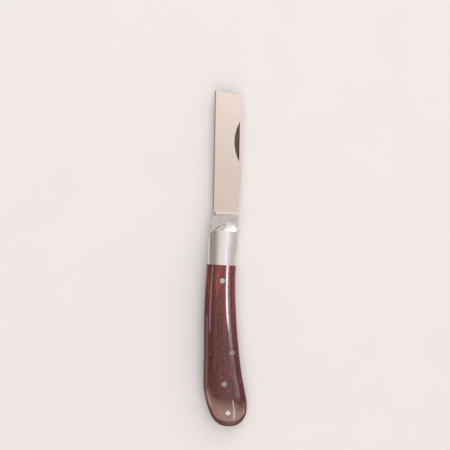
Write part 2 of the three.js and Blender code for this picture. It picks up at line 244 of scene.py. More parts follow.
class BladeSettings(bpy.types.PropertyGroup):
    """The blade's grind and finish."""

    edge: bpy.props.FloatProperty(
        name="Edge thickness", description="Thickness left at the cutting edge",
        default=0.00007, min=0.0, unit="LENGTH")
    bevel_width: bpy.props.FloatProperty(
        name="Bevel width", description="Width of the sharpened bevel",
        default=0.00065, min=0.0, unit="LENGTH")
    bevel_thickness: bpy.props.FloatProperty(
        name="Bevel thickness", description="Blade thickness where the bevel starts",
        default=0.00045, min=0.0, unit="LENGTH")
    spine_drop: bpy.props.FloatProperty(
        name="Spine grind", description="How far the grind takes the spine below the ricasso",
        default=0.0003, min=0.0, unit="LENGTH")
    plunge_radius: bpy.props.FloatProperty(
        name="Plunge radius", description="Radius that the grinding wheel leaves at the ricasso",
        default=0.0017, min=0.0001, unit="LENGTH")
    nick_depth: bpy.props.FloatProperty(
        name="Nick depth", description="Depth of the nail nick beside the spine",
        default=0.0007, min=0.0, unit="LENGTH")
    colour: bpy.props.FloatVectorProperty(
        name="Blade steel", description="Colour of the ground blade",
        subtype="COLOR", size=3, min=0.0, max=1.0, default=(0.84, 0.735, 0.67))
    spring_colour: bpy.props.FloatVectorProperty(
        name="Spring steel", description="Colour of the backspring",
        subtype="COLOR", size=3, min=0.0, max=1.0, default=(0.60, 0.57, 0.54))


class StageSettings(bpy.types.PropertyGroup):
    """The table, the lights and the camera."""

    table_colour: bpy.props.FloatVectorProperty(
        name="Table", description="Colour of the pale table top",
        subtype="COLOR", size=3, min=0.0, max=1.0, default=(0.86, 0.845, 0.83))
    fill: bpy.props.FloatProperty(
        name="Room light", description="Brightness of the even light from all round",
        default=0.95, min=0.0)
    strip: bpy.props.FloatProperty(
        name="Soft boxes", description="Brightness of the soft boxes",
        default=1.0, min=0.0)
    height: bpy.props.FloatProperty(
        name="Camera height", description="Height of the camera above the table",
        default=0.8, min=0.2, unit="LENGTH")
    view_width: bpy.props.FloatProperty(
        name="View width", description="Width of the view at the knife",
        default=0.2205, min=0.05, unit="LENGTH")
    lean: bpy.props.FloatProperty(
        name="Lean", description="How far the knife leans to the right in the view",
        default=math.radians(1.09), subtype="ANGLE")


# ---------------------------------------------------------------- building meshes

HOLE_SIDES = 48


def new_piece(name, mesh_data):
    """An object in the scene from a bmesh, which is used up."""
    mesh = bpy.data.meshes.new(name)
    mesh_data.to_mesh(mesh)
    mesh_data.free()
    piece = bpy.data.objects.new(name, mesh)
    bpy.context.scene.collection.objects.link(piece)
    return piece


def plate(outline, low, high, holes=()):
    """A flat plate from its outline, with round holes given as (x, y, radius)."""
    bm = bmesh.new()
    rims = [outline]
    for x, y, radius in holes:
        turns = [math.tau * k / HOLE_SIDES for k in range(HOLE_SIDES)]
        rims.append([Vector((x + radius * math.cos(a), y + radius * math.sin(a)))
                     for a in turns])
    edges = []
    for rim in rims:
        verts = [bm.verts.new((p[0], p[1], low)) for p in rim]
        edges += [bm.edges.new((a, b)) for a, b in zip(verts, verts[1:] + verts[:1])]
    if holes:
        bmesh.ops.triangle_fill(bm, edges=edges, use_beauty=True)
    else:
        bmesh.ops.contextual_create(bm, geom=edges)
    grown = bmesh.ops.extrude_face_region(bm, geom=bm.faces[:])
    top = [v for v in grown["geom"] if isinstance(v, bmesh.types.BMVert)]
    bmesh.ops.translate(bm, verts=top, vec=(0, 0, high - low))
    bmesh.ops.recalc_face_normals(bm, faces=bm.faces[:])
    return bm


def prism(section, low, high, to_axes):
    """A bar with the given section, turned so that the section's axes lie as to_axes says."""
    bm = plate([Vector(p) for p in section], low, high)
    bmesh.ops.transform(bm, matrix=to_axes, verts=bm.verts[:])
    bmesh.ops.recalc_face_normals(bm, faces=bm.faces[:])
    return bm


# A section drawn in (x, z) and run along y.
ALONG_Y = Matrix(((1, 0, 0, 0), (0, 0, 1, 0), (0, 1, 0, 0), (0, 0, 0, 1)))


def cylinder(x, y, radius, low, high, sides=64):
    """An upright round bar."""
    bm = bmesh.new()
    place = Matrix.Translation((x, y, (low + high) / 2))
    bmesh.ops.create_cone(bm, cap_ends=True, segments=sides, radius1=radius, radius2=radius,
                          depth=high - low, matrix=place)
    return bm


def settle(piece):
    """Applies the piece's modifiers."""
    shown = piece.evaluated_get(bpy.context.evaluated_depsgraph_get())
    mesh = bpy.data.meshes.new_from_object(shown)
    piece.modifiers.clear()
    old = piece.data
    piece.data = mesh
    bpy.data.meshes.remove(old)


def cut(piece, cutter_data, operation="DIFFERENCE"):
    """Cuts the piece with a solid, or keeps only what lies inside it."""
    cutter = new_piece("cutter", cutter_data)
    boolean = piece.modifiers.new("cut", "BOOLEAN")
    boolean.operation = operation
    boolean.solver = "EXACT"
    boolean.object = cutter
    settle(piece)
    mesh = cutter.data
    bpy.data.objects.remove(cutter)
    bpy.data.meshes.remove(mesh)


def taken_apart(piece):
    """The piece's mesh as a bmesh; the piece itself goes."""
    bm = bmesh.new()
    bm.from_mesh(piece.data)
    bpy.data.objects.remove(piece)
    return bm


def finish_piece(piece, material, nodes, body=None, edge=None, sharp=30.0):
    """Puts a piece into the frame, softens its edges, and says what it is and rides on."""
    mesh = piece.data
    mesh.transform(TO_FRAME)
    mesh.shade_smooth()
    mesh.set_sharp_from_angle(angle=math.radians(sharp))
    if not mesh.materials:
        mesh.materials.append(material)
    if edge:
        bevel = piece.modifiers.new("soft edges", "BEVEL")
        bevel.width = edge
        bevel.segments = 2
        bevel.limit_method = "ANGLE"
        bevel.angle_limit = math.radians(sharp)
        bevel.harden_normals = True
        bevel.use_clamp_overlap = True
    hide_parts(*nodes)
    if body:
        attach(piece, body)
    return piece


# ---------------------------------------------------------------- the handle's surface

# How the butt's dome falls from the level part: its start and its end.
DOME_START_POWER = 1.8
DOME_END_POWER = 1.5
# Rounds that bring a slanted row's x and y into agreement.
ROW_ROUNDS = 4


def crown(x, y, front_x=None):
    """Height of the rounded surface above its liner, for the wood or, with front_x, a bolster."""
    handle = bpy.context.scene.knife_handle
    wall = handle.wall / MM
    slot_x = x_at(SLOT_RUN, y) if front_x is None else front_x
    back_x = x_at(BACK_RUN, y)
    middle, half = (slot_x + back_x) / 2, max((back_x - slot_x) / 2, 1e-6)
    across = min(1.0, abs((x - middle) / half))
    rise = (1 - across**handle.crown_power) ** 0.5
    dome_length = handle.dome_start / MM
    along = min(1.0, max(0.0, (BUTT_Y + dome_length - y) / dome_length))
    fall = (1 - along**DOME_START_POWER) ** (1 / DOME_END_POWER)
    return wall + (SCALE_THICKNESS - wall) * rise * fall


def joint_y(x):
    """The slanted joint between bolster and wood."""
    return JOINT_Y - x * math.tan(JOINT_SLANT)


def crowned_bar(rows, base, side, front_x=None, columns=48):
    """A solid bar, flat at base and crowned towards side (+1 or -1).

    Each row takes a y of the middle line and x, and gives the vertex's own y and height.
    """
    bm = bmesh.new()
    bmesh.ops.create_grid(bm, x_segments=columns, y_segments=len(rows) - 1, size=1.0)
    for vert in bm.verts:
        row = rows[round((vert.co.y + 1) / 2 * (len(rows) - 1))]
        share = math.sin(vert.co.x * math.pi / 2)
        x, y = 0.0, 0.0
        for _ in range(ROW_ROUNDS):
            y = row(x)[0]
            slot_x = x_at(SLOT_RUN, y) if front_x is None else front_x
            back_x = x_at(BACK_RUN, y)
            x = (slot_x + back_x) / 2 + share * (back_x - slot_x) / 2
        y, height = row(x)
        vert.co = (x, y, base + side * (crown(x, y, front_x) if height is None else height))
    rim = [e for e in bm.edges if e.is_boundary]
    walls = bmesh.ops.extrude_edge_only(bm, edges=rim)["geom"]
    for vert in walls:
        if isinstance(vert, bmesh.types.BMVert):
            vert.co.z = base
    bmesh.ops.remove_doubles(bm, verts=bm.verts[:], dist=1e-4)
    bmesh.ops.holes_fill(bm, edges=[e for e in bm.edges if e.is_boundary], sides=0)
    bmesh.ops.recalc_face_normals(bm, faces=bm.faces[:])
    return bm


# The height each side's surface rises from, and which way.
SIDES = {"front": (FRONT_LINER[1], 1), "back": (BACK_LINER[0], -1)}
# Room round a pin in the wood, bolsters and blade, and in the liners and spring.
PIN_GAP, PLATE_GAP = 0.2, 0.05
# Heights that lie clear of the whole knife.
BELOW, ABOVE = -1.0, 14.0
# Rows along the wood's straight length and its dome, and along a bolster and its slope.
SCALE_ROWS, DOME_ROWS = 120, 48
BOLSTER_ROWS, SLOPE_ROWS = 60, 16
NOSE_BULGE = 0.25
# How far under the surface the pivot pin and the rivets end, and the room at their ends.
PIVOT_SKIN, RIVET_SKIN = 1.9, 0.7
RIVET_END_GAP = 0.1


def build_scale(side):
    """One wooden scale, with the holes its pins stand in."""
    base, up = SIDES[side]
    dome = bpy.context.scene.knife_handle.dome_start / MM
    dome_y = BUTT_Y + dome

    def straight(share):
        return lambda x: (joint_y(x) - JOINT_GAP + (dome_y - joint_y(x)) * share, None)

    def rounded(share):
        return lambda x: (dome_y - dome * math.sin(math.pi / 2 * share), None)

    rows = [straight(k / SCALE_ROWS) for k in range(SCALE_ROWS)]
    rows += [rounded(k / DOME_ROWS) for k in range(DOME_ROWS + 1)]
    piece = new_piece(f"wood_scale_{side}", crowned_bar(rows, base, up))
    for x, y, radius in (SCALE_RIVET, SPRING_PIN, TAIL_PIN, BUTT_PIN):
        cut(piece, cylinder(x, y, radius + PIN_GAP, BELOW, ABOVE))
    return piece


def crest_y(x):
    """The crest where a bolster's crown turns down to its nose."""
    return min(CREST_Y, cross(NOSE_RUN, x, 0) - CREST_SET_BACK)


def hidden_end(side, x, y):
    """The height where a rivet ends under the bolster's skin; the pivot pin is shorter."""
    base, up = SIDES[side]
    skin = PIVOT_SKIN if y == PIVOT_PIN[1] else RIVET_SKIN
    return base + up * (crown(x, y, BOLSTER_FRONT_X) - skin)


def build_bolster(side):
    """One steel bolster: crowned like the wood, sloped at the nose, with blind rivet holes."""
    base, up = SIDES[side]
    wall = bpy.context.scene.knife_handle.wall / MM

    def straight(share):
        return lambda x: (joint_y(x) + (crest_y(x) - joint_y(x)) * share, None)

    def sloped(share):
        def place(x):
            crest, foot = crest_y(x), cross(NOSE_RUN, x, 0)
            top = crown(x, crest, BOLSTER_FRONT_X)
            fall = share + NOSE_BULGE * share * (1 - share)
            return crest + (foot - crest) * fall, top + (wall - top) * share
        return place

    rows = [straight(k / BOLSTER_ROWS) for k in range(BOLSTER_ROWS + 1)]
    rows += [sloped(k / SLOPE_ROWS) for k in range(1, SLOPE_ROWS + 1)]
    piece = new_piece(f"steel_bolster_{side}", crowned_bar(rows, base, up, BOLSTER_FRONT_X))
    for x, y, radius in (PIVOT_PIN, *BOLSTER_RIVETS.values()):
        low, high = sorted((base - up, hidden_end(side, x, y) + RIVET_END_GAP * up))
        cut(piece, cylinder(x, y, radius + PIN_GAP, low, high))
    return piece


PIN_RINGS, PIN_SIDES = 7, 48
# Height of a pin's dome, and how far its rim lies under the surface round it.
PIN_DOME, PIN_SINK = 0.05, 0.02


def build_pin(name, place, low, high, top=None, bottom=None):
    """A pin whose ends follow the handle's surface and stand a little proud in a low dome.

    top and bottom are the liner height and direction of the surface, or None for a flat end.
    """
    x0, y0, radius = place
    bm = bmesh.new()
    made = bmesh.ops.create_circle(bm, cap_ends=True, segments=PIN_SIDES, radius=radius)
    face = made["verts"][0].link_faces[0]
    for _ in range(PIN_RINGS - 1):
        bmesh.ops.inset_individual(bm, faces=[face], thickness=radius / PIN_RINGS)
    bmesh.ops.poke(bm, faces=[face])
    grown = bmesh.ops.extrude_face_region(bm, geom=bm.faces[:])
    upper = {v for v in grown["geom"] if isinstance(v, bmesh.types.BMVert)}
    for vert in bm.verts:
        away = vert.co.xy.length / radius
        surface, level = (top, high) if vert in upper else (bottom, low)
        vert.co.x += x0
        vert.co.y += y0
        if surface:
            base, up = surface
            proud = PIN_DOME * (1 - away**2) - PIN_SINK
            level = base + up * (crown(vert.co.x, vert.co.y) + proud)
        vert.co.z = level
    bmesh.ops.recalc_face_normals(bm, faces=bm.faces[:])
    return new_piece(name, bm)


# ---------------------------------------------------------------- blade and backspring

BLADE_TIP_Y = 69.6
TIP_SLANT_DROP = 1.8
EDGE_X = -3.92
SPINE_X = 9.75
RICASSO_X = -4.4
GRIND_START_Y = 8.4
SHOULDER_Y = 1.7
TANG_FLAT = 5.45
TANG_CORNER = 5.68
TANG_FRONT_Y, TANG_STEP_Y, KICK_Y = -1.2, 0.5, 6.7
SPINE = [(9.2, BLADE_TIP_Y - TIP_SLANT_DROP), (9.5, 56.0), (9.7, 44.0), (9.5, 28.0),
         (8.75, 12.0), (8.6, SHOULDER_Y)]
SPINE_STEPS, CORNER_STEPS = 80, 24
# The choil notch's curves: control point, end and steps, each from where the last one ended.
NOTCH = (((RICASSO_X, 7.5), (-3.2, 8.0), 16),
         ((-1.1, 9.0), (-3.2, 10.4), 24),
         ((-3.8, 10.9), (EDGE_X, 11.8), 16))
NICK_X, NICK_Y, NICK_LENGTH, NICK_WIDTH = 8.7, 44.8, 19.6, 2.5
NICK_WALL_BEYOND = 0.1
NICK_STEPS = 48
# How far the cutting shapes reach past the blade, and the grinding wheel's length and sides.
REACH = 3.0
WHEEL_LENGTH, WHEEL_SIDES = 40.0, 128


def arc_points(centre, radius, start, end, steps):
    """Points round part of a circle, angles in radians."""
    turns = [start + (end - start) * k / steps for k in range(steps + 1)]
    return [Vector((centre[0] + radius * math.cos(a), centre[1] + radius * math.sin(a)))
            for a in turns]


def curve_to(start, control, end, steps):
    """Points along a quadratic curve, without its first point."""
    a, b, c = Vector(start), Vector(control), Vector(end)
    shares = [k / steps for k in range(1, steps + 1)]
    return [a * (1 - t) ** 2 + b * 2 * t * (1 - t) + c * t**2 for t in shares]


def blade_outline():
    """Round the blade: tip, spine, tang, ricasso and the choil notch."""
    corner = math.acos(TANG_FLAT / TANG_CORNER)
    quarter = math.pi / 2
    outline = [Vector((EDGE_X, BLADE_TIP_Y))] + smooth_run(SPINE, False, SPINE_STEPS)
    outline += [Vector((TANG_FLAT, SHOULDER_Y))]
    outline += arc_points((0, 0), TANG_CORNER, -corner, corner - quarter, CORNER_STEPS)
    outline += arc_points((0, 0), TANG_CORNER, -corner - quarter, corner - math.pi, CORNER_STEPS)
    outline += [Vector((-TANG_FLAT, TANG_FRONT_Y)), Vector((RICASSO_X, TANG_STEP_Y)),
                Vector((RICASSO_X, KICK_Y))]
    for control, end, steps in NOTCH:
        outline += curve_to(outline[-1], control, end, steps)
    return outline


def build_blade():
    """The blade, ground on its front face only."""
    blade = bpy.context.scene.knife_blade
    low, high = BLADE_LAYER
    foot_x = EDGE_X + blade.bevel_width / MM
    foot_z = low + blade.bevel_thickness / MM
    spine_z = high - blade.spine_drop / MM
    slope = (spine_z - foot_z) / (SPINE_X - foot_x)
    bevel_slope = (blade.bevel_thickness - blade.edge) / blade.bevel_width
    piece = new_piece("grafting_blade", plate(blade_outline(), low, high))
    # The nick's faces get a steel whose dark colour is painted shade.
    for finish in ("blade steel", "dark nick steel"):
        piece.data.materials.append(bpy.data.materials[finish])

    section = [(foot_x - REACH, foot_z - REACH * bevel_slope), (foot_x, foot_z),
               (SPINE_X + REACH, spine_z + REACH * slope), (SPINE_X + REACH, high + REACH),
               (foot_x - REACH, high + REACH)]
    wheel = blade.plunge_radius / MM
    wheel_y = GRIND_START_Y + wheel
    grind = new_piece("grind", prism(section, wheel_y, BLADE_TIP_Y + REACH, ALONG_Y))
    ground_z = foot_z - slope * foot_x
    axle = (Matrix.Translation((0, wheel_y, ground_z + wheel))
            @ Matrix.Rotation(-math.atan(slope), 4, "Y") @ Matrix.Rotation(math.pi / 2, 4, "Y"))
    round_end = bmesh.new()
    bmesh.ops.create_cone(round_end, cap_ends=True, segments=WHEEL_SIDES, radius1=wheel,
                          radius2=wheel, depth=WHEEL_LENGTH, matrix=axle)
    cut(grind, round_end, "UNION")
    cut(piece, taken_apart(grind))

    half = NICK_LENGTH / 2
    radius = (half**2 + NICK_WIDTH**2) / (2 * NICK_WIDTH)
    sweep = math.asin(half / radius)
    run_out = NICK_X - NICK_WIDTH
    crescent = arc_points((run_out + radius, NICK_Y), radius, math.pi - sweep,
                          math.pi + sweep, NICK_STEPS)
    nick = new_piece("nick", plate(crescent, low, high + 1))
    wall_x = NICK_X + NICK_WALL_BEYOND
    deep = ground_z + slope * wall_x - blade.nick_depth / MM
    floor = [(run_out, ground_z + slope * run_out), (wall_x, deep), (wall_x, high + 2),
             (run_out, high + 2)]
    cut(nick, prism(floor, NICK_Y - half - 1, NICK_Y + half + 1, ALONG_Y), "INTERSECT")
    nick_data = taken_apart(nick)
    # Material 1 is the nick's steel, painted dark as shade.
    for face in nick_data.faces:
        face.material_index = 1
    cut(piece, nick_data)
    x, y, pin = PIVOT_PIN
    cut(piece, cylinder(x, y, pin + PIN_GAP, 0.0, ABOVE))
    return piece


NOSE_X = 5.75
NOSE_Y = 1.3
INNER_X = 4.75
TAIL_BLOCK_Y = -71.2
# The tail's inner face stands a little in from the arm's, and meets the block in a fillet.
TAIL_X = INNER_X - 0.15
FILLET = 1.6
ARM_INNER_EDGE = [(TAIL_X, TAIL_BLOCK_Y + FILLET), (4.5, -62.0), (4.4, -58.7), (4.6, -52.0),
                  (INNER_X, -45.0), (INNER_X, -30.0), (INNER_X, -14.0), (INNER_X, -9.5),
                  (5.55, -6.6), (NOSE_X, -5.0), (NOSE_X, NOSE_Y)]
ARM_STEPS, FILLET_STEPS = 160, 10
SPRING_CLEARANCE = 0.02


def build_backspring():
    """The whole spring: a slim arm from nose to middle pin, and a tail that fills the butt."""
    back = [p for p in reversed(BACK_RUN) if p.y <= NOSE_Y]
    butt = [p for p in SLOT_RUN if p.y <= TAIL_BLOCK_Y]
    inner = smooth_run(ARM_INNER_EDGE, False, ARM_STEPS)
    start = (TAIL_X - FILLET, TAIL_BLOCK_Y)
    fillet = curve_to(start, (TAIL_X, TAIL_BLOCK_Y), (TAIL_X, TAIL_BLOCK_Y + FILLET),
                      FILLET_STEPS)
    outline = back + butt + [Vector(start)] + fillet + inner[1:]
    holes = [(x, y, r + PLATE_GAP) for x, y, r in (SPRING_PIN, TAIL_PIN, BUTT_PIN)]
    low, high = BACK_LINER[1] + SPRING_CLEARANCE, FRONT_LINER[0] - SPRING_CLEARANCE
    return new_piece("back_spring", plate(outline, low, high, holes))


# ---------------------------------------------------------------- materials


def add_group(tree, name, **values):
    """A node that uses a shared group, with its inputs set."""
    node = tree.nodes.new("ShaderNodeGroup")
    node.node_tree = bpy.data.node_groups[name]
    for key, value in values.items():
        node.inputs[key.replace("_", " ")].default_value = value
    return node


def new_group(name, inputs, outputs):
    """An empty shader node group with named sockets."""
    group = bpy.data.node_groups.new(name, "ShaderNodeTree")
    for label, kind, default in inputs:
        socket = group.interface.new_socket(label, in_out="INPUT", socket_type=kind)
        if default is not None:
            socket.default_value = default
    for label, kind in outputs:
        group.interface.new_socket(label, in_out="OUTPUT", socket_type=kind)
    enter = group.nodes.new("NodeGroupInput")
    leave = group.nodes.new("NodeGroupOutput")
    return group, enter.outputs, leave.inputs


def noise(tree, vector, scale, detail, roughness, distortion=0.0):
    """A noise texture's value."""
    node = tree.nodes.new("ShaderNodeTexNoise")
    node.inputs["Scale"].default_value = scale
    node.inputs["Detail"].default_value = detail
    node.inputs["Roughness"].default_value = roughness
    node.inputs["Distortion"].default_value = distortion
    tree.links.new(vector, node.inputs["Vector"])
    return node.outputs["Fac"]


def stretched(tree, vector, scale, rotation=(0.0, 0.0, 0.0)):
    """The vector turned and scaled along its axes."""
    node = tree.nodes.new("ShaderNodeMapping")
    node.inputs["Scale"].default_value = scale
    node.inputs["Rotation"].default_value = rotation
    tree.links.new(vector, node.inputs["Vector"])
    return node.outputs["Vector"]


def remap(tree, value, low, high, to_low=0.0, to_high=1.0):
    """Maps a value's range onto another, clamped."""
    node = tree.nodes.new("ShaderNodeMapRange")
    for key, number in (("From Min", low), ("From Max", high), ("To Min", to_low),
                        ("To Max", to_high)):
        node.inputs[key].default_value = number
    tree.links.new(value, node.inputs["Value"])
    return node.outputs["Result"]


def maths(tree, operation, a, b):
    """One arithmetic step on values or sockets."""
    node = tree.nodes.new("ShaderNodeMath")
    node.operation = operation
    for socket, value in zip(node.inputs, (a, b)):
        if isinstance(value, bpy.types.NodeSocket):
            tree.links.new(value, socket)
        else:
            socket.default_value = value
    return node.outputs["Value"]


def mixed(tree, share, a, b):
    """Two colours mixed by a share."""
    node = tree.nodes.new("ShaderNodeMix")
    node.data_type = "RGBA"
    for socket, value in ((node.inputs[0], share), (node.inputs[6], a), (node.inputs[7], b)):
        if isinstance(value, bpy.types.NodeSocket):
            tree.links.new(value, socket)
        else:
            socket.default_value = (*value, 1.0)
    return node.outputs[2]


def make_ground_lines():
    """Fine parallel lines that a belt or wheel leaves in steel, along the stretched axis."""
    group, enter, leave = new_group(
        "Ground Lines",
        [("Vector", "NodeSocketVector", None), ("Stretch", "NodeSocketVector", (1, 1, 1))],
        [("Fine", "NodeSocketFloat"), ("Broad", "NodeSocketFloat")])
    scaled = group.nodes.new("ShaderNodeVectorMath")
    scaled.operation = "MULTIPLY"
    group.links.new(enter["Vector"], scaled.inputs[0])
    group.links.new(enter["Stretch"], scaled.inputs[1])
    fine = noise(group, scaled.outputs[0], scale=1.0, detail=5.0, roughness=0.65)
    broad = noise(group, scaled.outputs[0], scale=0.16, detail=3.0, roughness=0.55)
    group.links.new(remap(group, fine, 0.3, 0.7), leave["Fine"])
    group.links.new(remap(group, broad, 0.32, 0.68), leave["Broad"])


def make_handling_wear():
    """Soft smudges and sparse hairline scratches from use."""
    group, enter, leave = new_group(
        "Handling Wear",
        [("Vector", "NodeSocketVector", None), ("Amount", "NodeSocketFloat", 0.5)],
        [("Smudge", "NodeSocketFloat"), ("Scratch", "NodeSocketFloat")])
    smudge = noise(group, enter["Vector"], scale=180.0, detail=4.0, roughness=0.6,
                   distortion=0.6)
    group.links.new(maths(group, "MULTIPLY", remap(group, smudge, 0.42, 0.72),
                          enter["Amount"]), leave["Smudge"])
    lines = []
    for turn, scale in ((0.5, 1.0), (-0.9, 1.3)):
        along = stretched(group, enter["Vector"], (2600.0, 90.0, 900.0), (0.0, 0.0, turn))
        hair = noise(group, along, scale, detail=2.0, roughness=0.5)
        lines.append(remap(group, hair, 0.70, 0.76))
    scratch = maths(group, "MAXIMUM", lines[0], lines[1])
    group.links.new(maths(group, "MULTIPLY", scratch, enter["Amount"]), leave["Scratch"])


GRAIN_TURN = math.radians(-6.0)
WIDE_SHARE, NARROW_SHARE = 0.62, 0.38


def make_wood_grain():
    """Long bands and short dark pores that run with the handle."""
    group, enter, leave = new_group(
        "Wood Grain",
        [("Vector", "NodeSocketVector", None)],
        [("Band", "NodeSocketFloat"), ("Pore", "NodeSocketFloat"), ("Fleck", "NodeSocketFloat")])

    def fibres(spacing, detail, roughness, distortion):
        turned = stretched(group, enter["Vector"], spacing, (0.0, 0.0, GRAIN_TURN))
        return noise(group, turned, 1.0, detail, roughness, distortion)

    wide = fibres((330.0, 16.0, 280.0), detail=4.0, roughness=0.6, distortion=1.1)
    narrow = fibres((1700.0, 45.0, 1300.0), detail=5.0, roughness=0.6, distortion=0.4)
    band = maths(group, "ADD", maths(group, "MULTIPLY", wide, WIDE_SHARE),
                 maths(group, "MULTIPLY", narrow, NARROW_SHARE))
    group.links.new(remap(group, band, 0.41, 0.59), leave["Band"])
    pore = fibres((3600.0, 330.0, 3600.0), detail=2.0, roughness=0.5, distortion=0.2)
    group.links.new(remap(group, pore, 0.58, 0.68), leave["Pore"])
    fleck = fibres((3000.0, 900.0, 3000.0), detail=2.0, roughness=0.5, distortion=0.3)
    group.links.new(remap(group, fleck, 0.59, 0.69), leave["Fleck"])


def start_material(name):
    """A fresh material's tree, with its Principled shader and Object coordinates."""
    material = bpy.data.materials.new(name)
    material.use_nodes = True
    tree = material.node_tree
    tree.nodes.clear()
    output = tree.nodes.new("ShaderNodeOutputMaterial")
    shader = tree.nodes.new("ShaderNodeBsdfPrincipled")
    tree.links.new(shader.outputs["BSDF"], output.inputs["Surface"])
    place = tree.nodes.new("ShaderNodeTexCoord")
    return tree, shader, place.outputs["Object"]


def bumped(tree, shader, height, strength, distance):
    """Raises the surface by a height value."""
    bump = tree.nodes.new("ShaderNodeBump")
    bump.inputs["Strength"].default_value = strength
    bump.inputs["Distance"].default_value = distance
    tree.links.new(height, bump.inputs["Height"])
    tree.links.new(bump.outputs["Normal"], shader.inputs["Normal"])


# The nail nick's dark colour is painted shade: it stands in for the dark that the groove
# reflects.
NICK_PAINTED_SHADE = (0.14, 0.105, 0.095)
RICASSO_GREYS = ((0.50, 0.47, 0.455), (0.58, 0.55, 0.54))
# What the fine lines take from the colour, smudges add to the roughness and scratches cut.
LINE_SHARE, SMUDGE_ROUGHNESS, SCRATCH_DEPTH = 0.4, 0.08, 0.7


def steel(name, colour, stretch, roughness, line_depth, wear, contrast=0.86):
    """Ground or polished steel. stretch sets the spacing of the lines along each axis."""
    tree, shader, place = start_material(name)
    lines = add_group(tree, "Ground Lines", Stretch=stretch)
    marks = add_group(tree, "Handling Wear", Amount=wear)
    tree.links.new(place, lines.inputs["Vector"])
    tree.links.new(place, marks.inputs["Vector"])
    low, high = roughness
    dark = tuple(c * contrast for c in colour)
    tone = mixed(tree, lines.outputs["Broad"], dark, colour)
    tone = mixed(tree, maths(tree, "MULTIPLY", lines.outputs["Fine"], LINE_SHARE), tone, dark)
    tree.links.new(tone, shader.inputs["Base Color"])
    rough = remap(tree, lines.outputs["Fine"], 0.0, 1.0, low, high)
    rough = maths(tree, "ADD", rough,
                  maths(tree, "MULTIPLY", marks.outputs["Smudge"], SMUDGE_ROUGHNESS))
    tree.links.new(rough, shader.inputs["Roughness"])
    shader.inputs["Metallic"].default_value = 1.0
    height = maths(tree, "SUBTRACT", lines.outputs["Fine"],
                   maths(tree, "MULTIPLY", marks.outputs["Scratch"], SCRATCH_DEPTH))
    bumped(tree, shader, height, strength=line_depth, distance=0.02 * MM)
    return tree, shader, place, tone


def blade_finish(colour):
    """Satin blade steel, with the unground ricasso and tang a greyer, cloudier tone."""
    tree, shader, place, tone = steel(
        "blade steel", colour, (350.0, 5200.0, 350.0), roughness=(0.27, 0.37), line_depth=0.25,
        wear=0.3, contrast=0.95)
    parts = tree.nodes.new("ShaderNodeSeparateXYZ")
    tree.links.new(place, parts.inputs[0])
    plunge = PIVOT.y + GRIND_START_Y * MM
    share = remap(tree, parts.outputs["Y"], plunge, plunge + 0.5 * MM)
    cloudy = noise(tree, place, scale=900.0, detail=3.0, roughness=0.6)
    grey = mixed(tree, remap(tree, cloudy, 0.35, 0.65), *RICASSO_GREYS)
    tree.links.new(mixed(tree, share, grey, tone), shader.inputs["Base Color"])


# The front of the wood's darker part, in millimetres along the handle from the pivot, and how
# dark it gets.
DARK_FROM, DARK_TO, DARK_SHARE = -22, -46, 0.70
FRONT_UNEVEN, FRONT_SLANT = 10, 1.4
FLECK_SHARE, FLECK_BRIGHTER = 0.42, (1.9, 3.0, 3.0)
PORE_SHARE, PORE_TONE = 0.85, 0.3
BAND_RELIEF = 0.3


def lacquered_wood(name, light, dark):
    """Red-brown close-grained wood under a clear gloss lacquer."""
    tree, shader, place = start_material(name)
    grain = add_group(tree, "Wood Grain")
    marks = add_group(tree, "Handling Wear", Amount=0.35)
    tree.links.new(place, grain.inputs["Vector"])
    tree.links.new(place, marks.inputs["Vector"])
    parts = tree.nodes.new("ShaderNodeSeparateXYZ")
    tree.links.new(place, parts.inputs[0])
    tone = mixed(tree, grain.outputs["Band"], dark, light)
    # The wood is darker towards the butt, along an uneven, slanting front.
    front = maths(tree, "ADD", parts.outputs["Y"],
                  maths(tree, "MULTIPLY", grain.outputs["Band"], FRONT_UNEVEN * MM))
    front = maths(tree, "ADD", front, maths(tree, "MULTIPLY", parts.outputs["X"], FRONT_SLANT))
    deep = remap(tree, front, PIVOT.y + DARK_FROM * MM, PIVOT.y + DARK_TO * MM, 0.0, DARK_SHARE)
    tone = mixed(tree, deep, tone, dark)
    tone = mixed(tree, maths(tree, "MULTIPLY", grain.outputs["Fleck"], FLECK_SHARE), tone,
                 tuple(min(1.0, c * f) for c, f in zip(light, FLECK_BRIGHTER)))
    pore_colour = tuple(c * PORE_TONE for c in dark)
    tone = mixed(tree, maths(tree, "MULTIPLY", grain.outputs["Pore"], PORE_SHARE), tone,
                 pore_colour)
    tree.links.new(tone, shader.inputs["Base Color"])
    rough = remap(tree, marks.outputs["Smudge"], 0.0, 0.5, 0.34, 0.46)
    tree.links.new(rough, shader.inputs["Roughness"])
    shader.inputs["Specular IOR Level"].default_value = 0.1
    shader.inputs["Coat Weight"].default_value = 0.8
    shader.inputs["Coat Roughness"].default_value = 0.045
    shader.inputs["Coat IOR"].default_value = 1.5
    height = maths(tree, "SUBTRACT", maths(tree, "MULTIPLY", grain.outputs["Band"], BAND_RELIEF),
                   grain.outputs["Pore"])
    bumped(tree, shader, height, strength=0.2, distance=0.03 * MM)


# ---------------------------------------------------------------- operators

# Widths of the softened edges, in metres, and the angle past which the blade's are softened.
BLADE_EDGE_ROUND, LINER_EDGE_ROUND = 0.00005, 0.00006
PIN_EDGE_ROUND, RIVET_EDGE_ROUND = 0.00008, 0.0001
BOLSTER_ROUND_FACTOR = 1.6
BLADE_SHARP_ANGLE = 12.0


